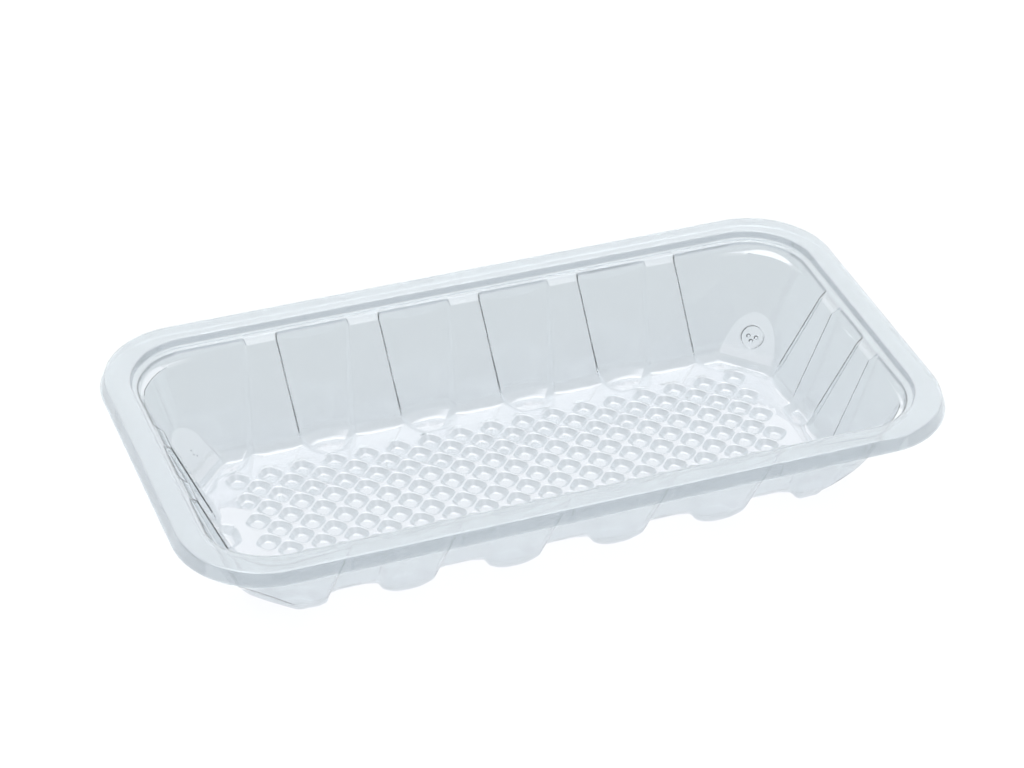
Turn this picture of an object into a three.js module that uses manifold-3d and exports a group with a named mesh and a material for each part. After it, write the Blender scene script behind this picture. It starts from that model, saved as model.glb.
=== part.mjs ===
// A clear thermoformed meat tray, made of one thin sheet of plastic.
// Millimetres, +Z up. The origin is on the table, under the middle of the tray.
// The long side runs along X and the short side along Y.
//
// The sheet is the space between two copies of one form: the hollow that the food lies in, and
// the same hollow grown outwards by the thickness of the sheet. The rolled-down rim is made in
// the same way. Each form is put together from plain bodies: a stepped basin, ribs that stand in
// from its walls, sloped cuts across its corners, feet pressed down between the ribs, and a floor
// of small diamond pockets.

import * as THREE from 'three';
import { ConvexGeometry } from 'three/addons/geometries/ConvexGeometry.js';
import { mergeVertices } from 'three/addons/utils/BufferGeometryUtils.js';
import Module from 'manifold-3d';

// ---------------------------------------------------------------- driving dimensions
const SHEET = 0.5; // thickness of the formed sheet
const HEIGHT = 41; // table to the top of the rim
const CORNER_STEPS = 8; // facets round each corner

// Rim: a flat flange with a short skirt turned down at its edge.
const RIM = { length: 260, width: 135.6, radius: 28 };
const RIM_ROUND = 0.8; // rounding between the flange and the skirt
const SKIRT_DROP = 4.45;
const SKIRT_FLARE = 1.65; // how far the skirt's lower edge stands out past the flange

// The basin, from the mouth down. Each row is half the length, half the width, the corner
// radius and the depth below the rim.
const MOUTH = [122.2, 59.9, 23.1, 0];
const LIP_FOOT = [121.85, 59.5, 22.7, 2.7];
const LEDGE_EDGE = [120.0, 57.25, 20.6, 3.05];
const UPRIGHT_FOOT = [119.2, 57.2, 20.3, 5.2]; // below it a crescent facet crosses each corner
const WALL_TOP = [118.6, 56.35, 21.0, 6.9];
const WALL_MIDDLE = [110.9, 47.6, 13.8, 26.0];
const WALL_FOOT = [107.4, 43.6, 10.8, 34.8];
const FLOOR_EDGE = [105.4, 41.4, 9.2, 38.0];
const BASIN = [
  MOUTH, LIP_FOOT, LEDGE_EDGE, UPRIGHT_FOOT, WALL_TOP, WALL_MIDDLE, WALL_FOOT, FLOOR_EDGE,
];
const FLOOR_DEPTH = 38.0;
const FOOT_DEPTH = 40.5;
const CUT_DEPTH = 43.5; // how deep the cutting bodies of the ribs and gussets reach
const OVERRUN = 1; // how far a cutting body runs past the open side of what it cuts

// The wall of a bay between two ribs bulges outwards. "crest" is its upper edge beside the ribs,
// which dips to "dip" at the middle, and "crown" is the bulge at the middle of its foot.
const LONG_BAY = {
  crest: { out: 57.2, depth: 5.0, dip: 7.4, half: 12.9 },
  foot: { out: 42.9, depth: 36.8, half: 9.0, crown: 1.1 },
};
const END_BAY = {
  crest: { out: 119.2, depth: 5.2, dip: 7.2, half: 9.4 },
  foot: { out: 106.7, depth: 36.8, half: 6.6, crown: 1.2 },
};
const BAY_SPREAD = [-1, -0.5, 0, 0.5, 1]; // places across a bay

// Ribs. "out" is the distance from the middle of the tray to the rib's face, at two depths, and
// "half" is half the width of the face there. "lean" is how much a side widens towards the wall.
const LONG_RIB = {
  top: { out: 54.9, depth: 4.95, half: 5.3 },
  foot: { out: 39.5, depth: 35.6, half: 8.35 },
  lean: 0.36,
  shelf: { out: 57.25, depth: 3.2 },
};
const END_RIB = {
  top: { out: 117.15, depth: 5.4, half: 5.05 },
  foot: { out: 104.3, depth: 34.6, half: 7.8 },
  lean: 0.36,
  shelf: { out: 120.0, depth: 3.2 },
};
const LONG_RIB_PITCH = 36.4;
const LONG_RIB_COUNT = 5;
const END_RIB_PITCH = 28.9;
const END_RIB_COUNT = 2;
const RIB_BACK = 8; // how far a rib's body reaches back past its face, beyond the wall
const RIB_BACK_LOW = 24; // the same at its lower end
const RIB_TOE = { rise: 2.4, run: 2.16 }; // the blend between a rib's face and the floor
const TOE_GROWTH = 0.7; // how far the blend moves out and down, as a share of the sheet

// A sloped flat facet across each corner, from the floor up to an arched top on the wall.
const GUSSET = { x: 98.2, y: 34.6, slope: 45 }; // middle of its foot at floor depth, degrees up
const GUSSET_REACH = 22; // how far the cutting body reaches out from that foot
const GUSSET_HALF = 30;
const GUSSET_FALL = 1.5; // how far in the cutting body's steep lower face runs at its bottom

// Feet, as outlines at three depths. Along a wall: [half width, out].
const LONG_FOOT = {
  neck: [[0, 44.4], [5.4, 43.9], [8.7, 43.0], [8.6, 39.3], [6.0, 31.4]],
  floor: [[0, 43.7], [5.4, 43.2], [8.3, 42.0], [9.2, 39.3], [6.3, 31.4]],
  sole: [[0, 41.8], [4.4, 41.3], [6.4, 39.9], [6.3, 38.2], [3.2, 33.6]],
};
const END_FOOT = {
  neck: [[0, 107.9], [5.6, 107.2], [5.8, 102.8], [4.2, 98.4]],
  floor: [[0, 107.2], [5.4, 106.3], [6.4, 102.8], [4.5, 98.4]],
  sole: [[0, 105.8], [4.2, 104.8], [4.0, 102.2], [1.8, 100.2]],
};
const NECK_DEPTH = 35.6;
const CORNER_FOOT_RISE = 1; // how far a corner foot's body reaches up past the floor
const CORNER_FOOT_MIDDLE = { x: 96, y: 34 }; // the place that its outlines grow away from
// A corner foot is two bodies that meet beside the gusset: outlines as [x, y].
const CORNER_FOOT = [
  {
    floor: [[82.6, 42.3], [81.9, 39.3], [86.0, 32.3], [97.0, 32.3], [99.0, 38.0], [94.0, 42.3]],
    sole: [[84.8, 40.2], [84.6, 38.6], [88.6, 34.4], [96.0, 33.4], [96.8, 36.0], [92.2, 40.2]],
  },
  {
    floor: [[106.3, 23.6], [102.8, 22.7], [98.6, 24.6], [97.0, 32.3], [99.0, 38.0], [106.3, 30.6]],
    sole: [[104.2, 25.8], [102.6, 25.2], [100.4, 27.0], [96.0, 33.4], [96.8, 36.0], [104.2, 29.6]],
  },
];

// Floor pockets: rows of rounded diamonds, each row shifted half a pitch from the last.
const POCKET_PITCH = 11.33;
const POCKET_ROWS = 10;
const POCKET_COLUMNS = 17;
const POCKET_FIRST_ROW = 26.6; // distance of the back row from the middle of the tray
const POCKET_DEPTH = 2.1;
const POCKET_TOP = { side: 7.2, corner: 1.5 }; // corner is the length cut from each end of a side
const POCKET_FOOT = { side: 4.3, corner: 0 };
const POCKET_OVERLAP = 0.4; // how far a pocket's body reaches up into the basin

// ---------------------------------------------------------------- bodies
const wasm = await Module();
wasm.setup();

// A closed geometry as a solid that can be joined and cut.
function toSolid(geometry) {
  geometry.deleteAttribute('normal');
  geometry.deleteAttribute('uv');
  const merged = mergeVertices(geometry, 1e-5);
  const mesh = new wasm.Mesh({
    numProp: 3,
    vertProperties: new Float32Array(merged.attributes.position.array),
    triVerts: new Uint32Array(merged.index.array),
  });
  return new wasm.Manifold(mesh);
}

function toGeometry(solid) {
  const mesh = solid.getMesh();
  const geometry = new THREE.BufferGeometry();
  geometry.setAttribute('position', new THREE.BufferAttribute(mesh.vertProperties, 3));
  geometry.setIndex(new THREE.BufferAttribute(mesh.triVerts, 1));
  geometry.computeVertexNormals();
  return geometry;
}

const hull = (points) => toSolid(new ConvexGeometry(points));

// A rounded rectangle at one height, counterclockwise seen from above.
function roundedRing(halfLength, halfWidth, radius, z) {
  const ring = [];
  const centres = [[1, 1], [-1, 1], [-1, -1], [1, -1]];
  centres.forEach(([sx, sy], corner) => {
    for (let step = 0; step <= CORNER_STEPS; step += 1) {
      const angle = (corner + step / CORNER_STEPS) * Math.PI / 2;
      const x = sx * (halfLength - radius) + radius * Math.cos(angle);
      const y = sy * (halfWidth - radius) + radius * Math.sin(angle);
      ring.push(new THREE.Vector3(x, y, z));
    }
  });
  return ring;
}

// A closed body through a stack of rings that all have the same number of points, lowest first.
function loft(rings) {
  const count = rings[0].length;
  const index = [];
  for (let level = 0; level + 1 < rings.length; level += 1) {
    for (let k = 0; k < count; k += 1) {
      const a = level * count + k;
      const b = level * count + (k + 1) % count;
      index.push(a, b, b + count, a, b + count, a + count);
    }
  }
  const top = (rings.length - 1) * count;
  for (let k = 1; k + 1 < count; k += 1) {
    index.push(0, k + 1, k, top, top + k, top + k + 1);
  }
  const geometry = new THREE.BufferGeometry().setFromPoints(rings.flat());
  geometry.setIndex(index);
  return toSolid(geometry);
}

// The outward step (sideways, downwards) that moves both neighbours of a profile point by
// "grow", for a profile of [out, depth] points that runs from the mouth to the floor.
function miter(profile, place, grow) {
  const normal = (from, to) => {
    const [run, drop] = [to[0] - from[0], to[1] - from[1]];
    const length = Math.hypot(run, drop);
    return [drop / length, -run / length];
  };
  const last = profile.length - 1;
  const above = place > 0 ? normal(profile[place - 1], profile[place]) : [1, 0];
  const below = place < last ? normal(profile[place], profile[place + 1]) : [0, 1];
  const scale = grow / (1 + above[0] * below[0] + above[1] * below[1]);
  return [scale * (above[0] + below[0]), scale * (above[1] + below[1])];
}

// The stepped basin, grown by "grow" and with its mouth carried up to "topDepth".
function basinBody(grow, topDepth) {
  const profile = BASIN.map(([, halfWidth, , depth]) => [halfWidth, depth]);
  const rings = BASIN.map(([halfLength, halfWidth, radius, depth], place) => {
    const [side, down] = miter(profile, place, grow);
    const level = place === 0 ? topDepth : depth + down;
    return roundedRing(halfLength + side, halfWidth + side, radius + side, HEIGHT - level);
  });
  return loft(rings.reverse());
}

// Half the width of a rib, at a distance out from the middle of the tray and a depth.
function ribHalf(rib, out, depth) {
  const rise = rib.foot.depth - rib.top.depth;
  const lean = rib.lean * (rib.foot.out - rib.top.out);
  const widening = (rib.foot.half - rib.top.half - lean) / rise;
  return rib.top.half + rib.lean * (out - rib.top.out) + widening * (depth - rib.top.depth);
}

// How far out a rib's face is at a depth.
function ribOut(rib, depth) {
  const slope = (rib.foot.out - rib.top.out) / (rib.foot.depth - rib.top.depth);
  return rib.top.out + slope * (depth - rib.top.depth);
}

// The wedge between a rib's face and the floor, along +Y.
function ribToe(rib, grow) {
  const high = FLOOR_DEPTH - RIB_TOE.rise;
  const low = FLOOR_DEPTH + OVERRUN;
  const places = [
    [ribOut(rib, high), high],
    [ribOut(rib, high) - RIB_TOE.run, FLOOR_DEPTH],
    [ribOut(rib, high) - RIB_TOE.run, low],
    [ribOut(rib, high) + RIB_BACK, high],
    [ribOut(rib, high) + RIB_BACK, low],
  ];
  const points = [];
  const half = rib.foot.half - grow;
  const shift = TOE_GROWTH * grow;
  for (const [out, depth] of places) {
    points.push(new THREE.Vector3(-half, out + shift, HEIGHT - depth - shift));
    points.push(new THREE.Vector3(half, out + shift, HEIGHT - depth - shift));
  }
  return hull(points);
}

// The bulged wall of a bay, along +Y, as a body that reaches in past the plain wall.
function bayBody(bay, grow) {
  const points = [];
  const add = (x, out, depth) => points.push(new THREE.Vector3(x, out + grow, HEIGHT - depth));
  for (const u of BAY_SPREAD) {
    const bulge = 1 - u * u;
    const crestDrop = bulge * (bay.crest.dip - bay.crest.depth);
    add(u * bay.crest.half, bay.crest.out, bay.crest.depth + crestDrop);
    add(u * bay.foot.half, bay.foot.out + bulge * bay.foot.crown, bay.foot.depth);
  }
  for (const side of [-1, 1]) {
    add(side * bay.foot.half, bay.foot.out - RIB_BACK, bay.foot.depth);
    add(side * bay.foot.half, bay.foot.out - RIB_BACK, bay.crest.depth);
  }
  return hull(points);
}

// The body that a rib takes away from the hollow, along +Y, shrunk by the sheet where "grow" is.
function ribBody(rib, grow) {
  const places = [
    [rib.top.out, rib.top.depth],
    [rib.shelf.out, rib.shelf.depth],
    [rib.shelf.out + RIB_BACK, rib.shelf.depth],
    [ribOut(rib, CUT_DEPTH), CUT_DEPTH],
    [ribOut(rib, CUT_DEPTH) + RIB_BACK_LOW, CUT_DEPTH],
  ];
  const points = [];
  for (const [out, depth] of places) {
    const half = ribHalf(rib, out, depth) - grow;
    points.push(new THREE.Vector3(-half, out + grow, HEIGHT - depth - grow));
    points.push(new THREE.Vector3(half, out + grow, HEIGHT - depth - grow));
  }
  return hull(points);
}

// A foot in a bay between two ribs, along +Y.
function footBody(foot, grow) {
  const points = [];
  const levels = [[foot.neck, NECK_DEPTH], [foot.floor, FLOOR_DEPTH], [foot.sole, FOOT_DEPTH]];
  for (const [outline, depth] of levels) {
    outline.forEach(([half, out], place) => {
      const z = HEIGHT - depth - grow;
      const y = out + (place === outline.length - 1 ? -grow : grow);
      points.push(new THREE.Vector3(-half - grow, y, z), new THREE.Vector3(half + grow, y, z));
    });
  }
  return hull(points);
}

// One of the two bodies of a corner foot, in the corner where X and Y are positive.
function cornerFootBody(part, grow) {
  const middle = new THREE.Vector2(CORNER_FOOT_MIDDLE.x, CORNER_FOOT_MIDDLE.y);
  const points = [];
  const levels = [
    [part.floor, FLOOR_DEPTH - CORNER_FOOT_RISE],
    [part.floor, FLOOR_DEPTH],
    [part.sole, FOOT_DEPTH],
  ];
  for (const [outline, depth] of levels) {
    for (const [x, y] of outline) {
      const away = new THREE.Vector2(x, y).sub(middle).normalize().multiplyScalar(grow);
      points.push(new THREE.Vector3(x + away.x, y + away.y, HEIGHT - depth - grow));
    }
  }
  return hull(points);
}

// The wedge that a gusset takes away from the corner where X and Y are positive. Its face slopes
// down to the floor, and from there it drops steeply behind the corner foot.
function gussetBody(grow) {
  const slope = Math.tan(THREE.MathUtils.degToRad(GUSSET.slope));
  const top = GUSSET_REACH * slope;
  const bottom = FLOOR_DEPTH - CUT_DEPTH;
  const profile = [[GUSSET_REACH, -top], [0, 0], [-GUSSET_FALL, -bottom]];
  const [out, down] = miter(profile, 1, grow);
  const places = [
    [GUSSET_REACH, top - grow / Math.cos(THREE.MathUtils.degToRad(GUSSET.slope))],
    [out, -down],
    [grow - GUSSET_FALL, bottom],
    [GUSSET_REACH, bottom],
  ];
  const points = [];
  for (const side of [-GUSSET_HALF, GUSSET_HALF]) {
    for (const [reach, level] of places) {
      const x = GUSSET.x + (reach - side) * Math.SQRT1_2;
      const y = GUSSET.y + (reach + side) * Math.SQRT1_2;
      points.push(new THREE.Vector3(x, y, HEIGHT - FLOOR_DEPTH + level));
    }
  }
  return hull(points);
}

// A diamond pocket in the floor, centred on X = Y = 0.
function pocketBody(top, foot, grow) {
  const ring = ({ side, corner }, z) => {
    const half = side / 2 + grow;
    const flat = half - corner;
    const pointed = [[half, -half], [half, half], [-half, half], [-half, -half]];
    const clipped = [
      [half, -flat], [half, flat], [flat, half], [-flat, half],
      [-half, flat], [-half, -flat], [-flat, -half], [flat, -half],
    ];
    return (corner > 0 ? clipped : pointed).map(([x, y]) => {
      const turned = new THREE.Vector2(x, y).rotateAround(new THREE.Vector2(), Math.PI / 4);
      return new THREE.Vector3(turned.x, turned.y, z);
    });
  };
  const floor = HEIGHT - FLOOR_DEPTH - grow;
  const points = [
    ...ring(top, floor + POCKET_OVERLAP),
    ...ring(top, floor),
    ...ring(foot, floor - POCKET_DEPTH),
  ];
  return hull(points);
}

// ---------------------------------------------------------------- where the bodies go
const QUARTER = 90;

// One body along a wall, set out at its places on that wall and on the wall across from it.
function alongWalls(body, count, pitch, turn) {
  const placed = [];
  for (const half of [0, 2 * QUARTER]) {
    for (let k = 0; k < count; k += 1) {
      const shift = (k - (count - 1) / 2) * pitch;
      placed.push(body.translate([shift, 0, 0]).rotate([0, 0, turn + half]));
    }
  }
  return placed;
}

// One body in the corner where X and Y are positive, mirrored to all four corners.
function inCorners(body) {
  const across = [body, body.mirror([1, 0, 0])];
  return [...across, ...across.map((solid) => solid.mirror([0, 1, 0]))];
}

function pocketBodies(top, foot, grow) {
  const body = pocketBody(top, foot, grow);
  const placed = [];
  for (let row = 0; row < POCKET_ROWS; row += 1) {
    const count = POCKET_COLUMNS - row % 2;
    const y = POCKET_FIRST_ROW - row * POCKET_PITCH / 2;
    for (let column = 0; column < count; column += 1) {
      const x = (column - (count - 1) / 2) * POCKET_PITCH;
      placed.push(body.translate([x, y, 0]));
    }
  }
  return placed;
}

// The hollow of the tray, or the outside of the sheet round it where "grow" is its thickness.
function hollow(grow, topDepth, pocketTop) {
  const added = wasm.Manifold.union([
    basinBody(grow, topDepth),
    ...alongWalls(bayBody(LONG_BAY, grow), LONG_RIB_COUNT - 1, LONG_RIB_PITCH, 0),
    ...alongWalls(bayBody(END_BAY, grow), END_RIB_COUNT - 1, END_RIB_PITCH, QUARTER),
    ...alongWalls(footBody(LONG_FOOT, grow), LONG_RIB_COUNT - 1, LONG_RIB_PITCH, 0),
    ...alongWalls(footBody(END_FOOT, grow), END_RIB_COUNT - 1, END_RIB_PITCH, QUARTER),
    ...CORNER_FOOT.flatMap((part) => inCorners(cornerFootBody(part, grow))),
  ]);
  const removed = wasm.Manifold.union([
    ...alongWalls(ribBody(LONG_RIB, grow), LONG_RIB_COUNT, LONG_RIB_PITCH, 0),
    ...alongWalls(ribToe(LONG_RIB, grow), LONG_RIB_COUNT, LONG_RIB_PITCH, 0),
    ...alongWalls(ribBody(END_RIB, grow), END_RIB_COUNT, END_RIB_PITCH, QUARTER),
    ...alongWalls(ribToe(END_RIB, grow), END_RIB_COUNT, END_RIB_PITCH, QUARTER),
    ...inCorners(gussetBody(grow)),
  ]);
  const pockets = wasm.Manifold.union(pocketBodies(pocketTop, POCKET_FOOT, grow));
  return added.subtract(removed).add(pockets);
}

// The rim as a filled cap, shrunk by "shrink", with its skirt carried down by "extra".
function rimBody(shrink, extra) {
  const halfLength = RIM.length / 2 - shrink;
  const halfWidth = RIM.width / 2 - shrink;
  const radius = RIM.radius - shrink;
  const top = HEIGHT - shrink;
  const flare = SKIRT_FLARE * (1 + extra / SKIRT_DROP);
  return loft([
    roundedRing(halfLength + flare, halfWidth + flare, radius + flare, HEIGHT - SKIRT_DROP - extra),
    roundedRing(halfLength, halfWidth, radius, top - RIM_ROUND),
    roundedRing(halfLength - RIM_ROUND, halfWidth - RIM_ROUND, radius - RIM_ROUND, top),
  ]);
}

function trayGeometry() {
  const rim = rimBody(0, 0).subtract(rimBody(SHEET, OVERRUN));
  const skin = rim.add(hollow(SHEET, SHEET / 2, { side: POCKET_TOP.side, corner: 0 }));
  return toGeometry(skin.subtract(hollow(0, -OVERRUN, POCKET_TOP)));
}

// ---------------------------------------------------------------- the part
const clearPlastic = new THREE.MeshStandardMaterial({
  color: 0xdbe2e8,
  roughness: 0.12,
  metalness: 0,
  transparent: true,
  opacity: 0.4,
});

const tray = new THREE.Mesh(trayGeometry(), clearPlastic);
tray.name = 'tray';

const part = new THREE.Group();
part.name = 'meat_tray';
part.add(tray);

export default part;
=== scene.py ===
"""A clear thermoformed meat tray, modelled over its CAD frame.

The tray is one sheet of plastic. A flat grid is laid out over a quarter of the mould, drawn down
into its shape, mirrored to the other three quarters, joined to a floor of small diamond pockets
and given the thickness of the real sheet.
"""

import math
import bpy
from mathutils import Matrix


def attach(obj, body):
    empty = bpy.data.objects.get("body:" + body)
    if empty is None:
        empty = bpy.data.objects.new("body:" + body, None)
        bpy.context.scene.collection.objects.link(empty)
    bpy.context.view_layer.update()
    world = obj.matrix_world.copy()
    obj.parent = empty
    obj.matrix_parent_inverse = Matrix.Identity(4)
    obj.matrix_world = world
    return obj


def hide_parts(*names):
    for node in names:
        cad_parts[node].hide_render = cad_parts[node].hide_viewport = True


bl_info = {
    "name": "Thermoformed Meat Tray",
    "version": (1, 0, 0),
    "blender": (4, 5, 0),
    "location": "3D View > Sidebar > Meat Tray",
    "description": "Builds a clear ribbed food tray with a floor of small pockets",
    "category": "Object",
}

import bpy
from mathutils import Matrix, Quaternion, Vector

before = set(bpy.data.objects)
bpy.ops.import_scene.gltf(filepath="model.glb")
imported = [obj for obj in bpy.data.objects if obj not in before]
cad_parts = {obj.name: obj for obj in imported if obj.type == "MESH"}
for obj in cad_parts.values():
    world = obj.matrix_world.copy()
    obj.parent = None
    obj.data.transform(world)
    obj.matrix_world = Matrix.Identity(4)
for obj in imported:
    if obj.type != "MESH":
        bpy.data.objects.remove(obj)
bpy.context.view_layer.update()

MM = 0.001
CAD_NODE = "tray"
BODY = "root"

# ------------------------------------------------------------------ the mould, in millimetres
# Depths are below the top of the rim. Each ring is half the length, half the width, the corner
# radius and the depth.
MOUTH = (122.2, 59.9, 23.1, 0.0)
LIP_FOOT = (121.85, 59.5, 22.7, 2.7)
LEDGE_EDGE = (120.0, 57.25, 20.6, 3.05)
UPRIGHT_FOOT = (119.2, 57.2, 20.3, 5.2)
WALL_TOP = (118.6, 56.35, 21.0, 6.9)
WALL_MIDDLE = (110.9, 47.6, 13.8, 26.0)
WALL_FOOT = (107.4, 43.6, 10.8, 34.8)
FLOOR_EDGE = (105.4, 41.4, 9.2, 38.0)
WALL_RINGS = (UPRIGHT_FOOT, WALL_TOP, WALL_MIDDLE, WALL_FOOT, FLOOR_EDGE)

FLOOR_DEPTH = 38.0
FOOT_DEPTH = 40.5
NECK_DEPTH = 35.6  # where the walls and ribs turn into the feet and the floor

# The ribs, bays and feet of each wall. "out" is the distance from the middle of the tray, and
# "half" is half a width along the wall.
LONG_WALL = {
    "pitch": 36.4,
    "rib_top": {"out": 54.9, "depth": 4.95, "half": 5.3},
    "rib_foot": {"out": 39.5, "depth": 35.6, "half": 8.35},
    "lean": 0.36,
    "ledge": 57.25,
    "crest": {"out": 57.2, "depth": 5.0, "dip": 2.44},
    "bay_top": {"out": 56.1, "depth": 7.4, "half": 12.9, "crown": 1.1},
    "bay_foot": {"out": 42.9, "depth": 36.8, "half": 9.0, "crown": 1.1},
    "toe_foot": 37.34,
    "plateau": 30.8,
    # The foot in the bay, from the wall inwards: how far out it is in the middle of the bay,
    # and (half, out) at its edge.
    "foot_outer": {"middle": 43.7, "edge": (8.5, 42.0)},
    "sole_outer": {"middle": 41.8, "edge": (6.4, 39.9)},
    "sole_side": (6.3, 38.2),
    "sole_inner": {"middle": 34.6, "edge": (3.4, 34.9)},
    "foot_inner": {"middle": 31.3, "edge": (4.4, 31.5)},
    "floor_side": ((9.6, 38.7), (9.2, 38.5), (8.5, 36.9), (7.2, 34.0), (6.2, 31.8)),
}
END_WALL = {
    "pitch": 28.9,
    "rib_top": {"out": 117.15, "depth": 5.4, "half": 5.05},
    "rib_foot": {"out": 104.3, "depth": 34.6, "half": 7.8},
    "lean": 0.36,
    "ledge": 120.0,
    "crest": {"out": 119.2, "depth": 5.2, "dip": 2.0},
    "bay_top": {"out": 118.5, "depth": 7.2, "half": 9.4, "crown": 0.1},
    "bay_foot": {"out": 106.7, "depth": 36.8, "half": 6.6, "crown": 1.2},
    "toe_foot": 101.7,
    "plateau": 97.6,
    "foot_outer": {"middle": 107.2, "edge": (5.5, 106.3)},
    "sole_outer": {"middle": 105.8, "edge": (4.2, 104.8)},
    "sole_side": (4.0, 102.6),
    "sole_inner": {"middle": 100.2, "edge": (2.0, 100.4)},
    "foot_inner": {"middle": 98.4, "edge": (2.8, 98.5)},
    "floor_side": ((6.3, 103.4), (6.4, 102.8), (6.0, 101.4), (5.2, 99.9), (4.5, 98.7)),
}

# The gusset is a flat facet at 45 degrees across each corner. On it X + Y grows with the height
# above the floor.
GUSSET_FOOT = (98.2, 34.6)
GUSSET_SUM = GUSSET_FOOT[0] + GUSSET_FOOT[1]
GUSSET_FOOT_FALL = 0.5  # how far in along X and Y its foot drops to the sole below
SOLE_REACH = (104.1, 40.4)  # how far out the corner's sole reaches along X and Y
SOLE_CORNER_ROUND = 1.4

# The floor of a corner, as (x, y) at stops along its columns: where the gusset starts on the
# long wall (0), its middle (1) and where it ends on the end wall (2), with the two ribs' sides
# at -1 and 3.
CORNER_FLOOR = {
    "foot_outer": ((-1, 82.5, 42.2), (0, 91.4, 41.7), (2, 105.7, 27.4), (3, 106.0, 23.7)),
    "sole_outer": ((-1, 84.8, 40.2), (0, 89.4, 39.9), (2, 103.8, 25.5), (3, 104.0, 25.2)),
    "sole_inner": (
        (-1, 84.6, 38.6), (0, 86.6, 36.4), (0.3, 88.8, 34.5), (1, 96.0, 32.9),
        (1.7, 100.4, 27.0), (2, 101.5, 26.2), (3, 102.6, 25.3),
    ),
    "foot_inner": (
        (-1, 82.7, 37.8), (0, 85.0, 34.0), (0.3, 86.6, 32.4), (1, 96.2, 31.5),
        (1.7, 98.7, 25.0), (2, 100.2, 23.9), (3, 102.0, 22.9),
    ),
    "plateau": (
        (-1, 82.2, 30.8), (0, 84.4, 30.8), (0.3, 86.4, 30.8), (1, 95.4, 30.6),
        (1.7, 97.6, 25.4), (2, 97.6, 23.8), (3, 97.6, 22.6),
    ),
}
# The floor beside the two ribs that a corner lies between, where the foot's side meets it.
LONG_RIB_CORNER_SIDE = ((81.4, 38.8), (81.9, 38.9), (82.0, 38.5), (82.1, 38.2), (82.2, 37.9))
END_RIB_CORNER_SIDE = ((103.4, 22.6), (102.9, 22.4), (102.7, 22.4), (102.4, 22.35), (102.1, 22.3))
LONG_RIB_CORNER_PLATEAU = (81.4, 30.8)
END_RIB_CORNER_PLATEAU = (97.6, 22.0)

ROUND_STEPS = 3  # facets round each rounded edge
FACE_SPREAD = (-0.5, 0.0, 0.5)  # columns on a rib's face, from -1 to 1 across it
BAY_SPREAD = (-0.78, -0.52, -0.26, 0.0, 0.26, 0.52, 0.78)  # the same in a bay
TOE_STOPS = (0.0, 0.3, 0.6, 0.9)  # rows from a rib's toe inwards, as shares
BELOW_CREST = 1.0  # a row this far below the crest of a wall
LOWER_ROW = 0.7  # the row below it, as a share of the way down
BULGE_POWER = 3  # how squarely a foot fills its bay
ARC_STEPS = 24
CORNER_RUN = (0.22, 0.44, 0.65, 0.83)  # columns on the long wall between a rib and the arc
CORNER_RUN_GUSSET = 2  # the one where the gusset starts
CORNER_END = (0.27, 0.533, 0.77)  # columns on the end wall between the arc and a rib
CORNER_END_GUSSET = 1
STOP_RUN = 0.5  # stops on the floor for each share of a corner's straight runs
GUSSET_LOWEST = 1.4  # the gusset's edge ends at least this far above the floor
HALVINGS = 30  # of the depth, when the gusset's edge is looked for
LEDGE_SPREAD = 0.5  # width of a rib's side where it dies into the ledge
UPRIGHT_DIP = 1.3  # how far the crescent's upper edge falls from its middle to its ends
CRESCENT_HALF = 24.0  # degrees
CRESCENT_WIDTH = 2.1
CRESCENT_ENDS = 1.25  # its width where it dies into the wall
CRESCENT_FALL = 1.0  # the crescent's lower edge, below its upper edge
CRESCENT_LEVEL = 0.55  # how much less its lower edge dips at the ends than its upper edge
EDGE_ROUND = 0.8  # rounding of the ribs' upright edges
END_EDGE_ROUND = 0.45  # the same on the end walls
ARCH_ROUND = 0.35  # rounding of the gusset's arched edge
LONGEST_ROUND = 0.45  # most of the way to the next point that a rounding takes
SIDE_PASSES = 3  # until it is settled where a rib's side meets a bay
FOLD_REACH = 1.35  # most that the underside may lie from the top, in sheet thicknesses

# Heights above the table, in metres, over which one part of the sheet turns into the next.
THIN_FLOOR = (0.0042, 0.0066)  # the thin floor and feet into the walls
FLOOR_TINT = (0.0031, 0.0038)  # the pockets' tint into the walls' tint
SUNK = (0.0012, 0.0024)  # painted shade: a pocket's bottom and the feet's soles into the floor
RIM_START = (0.0362, 0.0376)  # the walls into the rim
# Slopes, from 0 where the sheet lies flat to 1 where it is upright.
FLAT_LIT_SLOPES = (0.06, 0.36)  # painted light: the floor and the walls are painted lighter where they lie flatter, as if lit from overhead
UPRIGHT = (0.5, 0.9)  # painted shade: the rim takes the skirt's darker tint where it is steeper
LOW_SHADE_SHARE = 0.6  # painted shade: how much of the pockets' darker tint the pocket bottoms and the feet's soles take
FIRST_SHEET = 1.5  # a ray that has been through more faces has passed the first sheet
THIN_RIM = 0.45  # how much of the rim lets light through straight
BOTH_FACES_IOR = 2.0  # mirrors as much on one face as the real sheet does on its two
MOST_MIRRORED = 0.22  # share that the thin sheet mirrors at most
MIRRORED_BEHIND = 0.5  # how much of that is left on a sheet that is seen through another
WAVE_SCALE = 140.0  # faint waves about 7 mm long, which forming leaves in the sheet
WAVE_STRENGTH = 0.12
WAVE_HEIGHT = 0.0002
MARK_HEIGHT = 0.0003
# The marks in two gussets, in millimetres: centre, radius of a line round it, and the line's
# half width.
RAISED_MARKS = (
    ((102.75, 38.97, 9.31), 4.1, 0.45),
    ((101.75, 39.97, 9.31), 0.75, 0.4),
    ((103.75, 37.97, 9.31), 0.75, 0.4),
    ((101.95, 38.17, 8.18), 0.75, 0.4),
    ((-102.71, 39.4, 9.58), 0.0, 0.5),
    ((-102.12, 38.44, 8.49), 0.0, 0.5),
    ((-100.94, 38.44, 7.65), 0.0, 0.4),
)


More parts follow.
